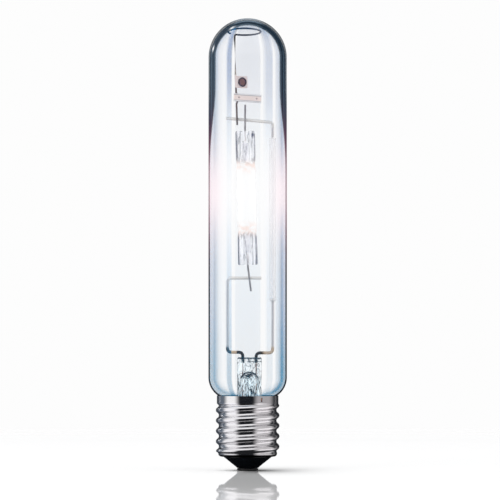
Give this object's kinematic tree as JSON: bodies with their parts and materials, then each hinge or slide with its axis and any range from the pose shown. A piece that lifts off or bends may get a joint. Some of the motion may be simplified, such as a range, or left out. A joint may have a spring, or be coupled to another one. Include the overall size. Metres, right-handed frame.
{
  "type": "metal halide lamp",
  "caption": "Tubular discharge lamp: quartz burner on a wire frame in a clear bulb with a large screw cap.",
  "frame": {"origin": "on the lamp's axis, in the flat underside of the centre contact", "axes": "+Z along the lamp's axis towards the bulb's crown; the side in the picture faces -Y"},
  "size_m": [0.048, 0.048, 0.277],
  "materials": {
    "clear_glass": "clear, blown and fire-polished",
    "quartz_glass": "clear quartz, pressed at the ends",
    "shell_metal": "nickel plate, rolled",
    "contact_metal": "nickel plate, stamped",
    "rod_metal": "nickel plate with heat tint",
    "getter_metal": "bare strip, faintly pink",
    "getter_powder": "pressed dark powder",
    "tungsten": "drawn wire, dull grey",
    "foil_metal": "molybdenum, satin",
    "copper_wire": "copper-clad wire",
    "black_glass": "opaque black, moulded and glossy",
    "solder": "bright solder",
    "cement": "fired basing cement"
  },
  "bodies": {
    "root": {"outer_bulb": "clear_glass", "glass_stem": "clear_glass", "exhaust_tube": "clear_glass", "arc_tube": "quartz_glass", "rod_sleeve": "quartz_glass", "cap_shell": "shell_metal", "cap_insulator": "black_glass", "centre_contact": "contact_metal", "contact_solder": "solder", "basing_cement": "cement", "seal_wire_left": "copper_wire", "seal_wire_right": "copper_wire", "centre_lead": "copper_wire", "side_lead": "copper_wire", "frame_rod_left": "rod_metal", "frame_rod_right": "rod_metal", "sleeve_stop": "rod_metal", "top_support_wire": "rod_metal", "getter_plate": "getter_metal", "getter_cup": "getter_metal", "getter_pellet": "getter_powder", "getter_strip": "getter_metal", "upper_electrode": "tungsten", "lower_electrode": "tungsten", "upper_electrode_coil": "tungsten", "lower_electrode_coil": "tungsten", "upper_foil": "foil_metal", "lower_foil": "foil_metal", "upper_lead": "foil_metal", "lower_lead": "foil_metal"}
  },
  "joints": []
}
